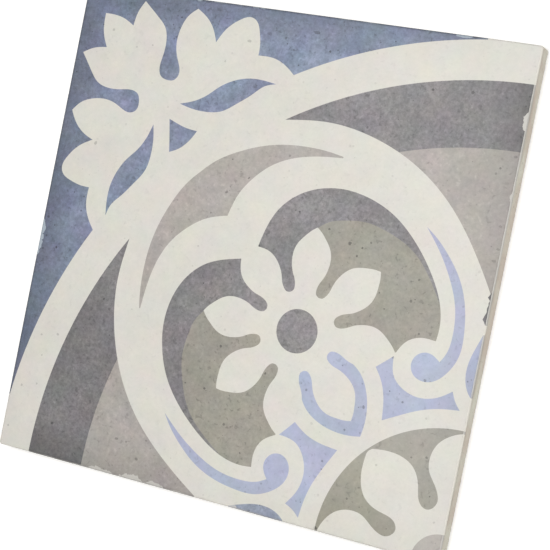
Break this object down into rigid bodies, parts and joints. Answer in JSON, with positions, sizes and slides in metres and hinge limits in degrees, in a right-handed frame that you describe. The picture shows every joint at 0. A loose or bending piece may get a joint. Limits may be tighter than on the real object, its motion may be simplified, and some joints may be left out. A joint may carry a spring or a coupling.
{
  "type": "ceramic tile",
  "caption": "Square glazed ceramic floor and wall tile with a traditional floral quarter-rosette print, eased face edges and a keyed back.",
  "frame": {"origin": "centre of the bedding plane, where the ribs of the keyed back touch the bed", "axes": "+Z out of the glazed face, +X and +Y along two edges of the square; the corner of the print's large flower is at +X -Y"},
  "size_m": [0.2, 0.2, 0.0085],
  "materials": {
    "tile": "matte"
  },
  "bodies": {
    "root": {"tile": "tile"}
  },
  "joints": []
}
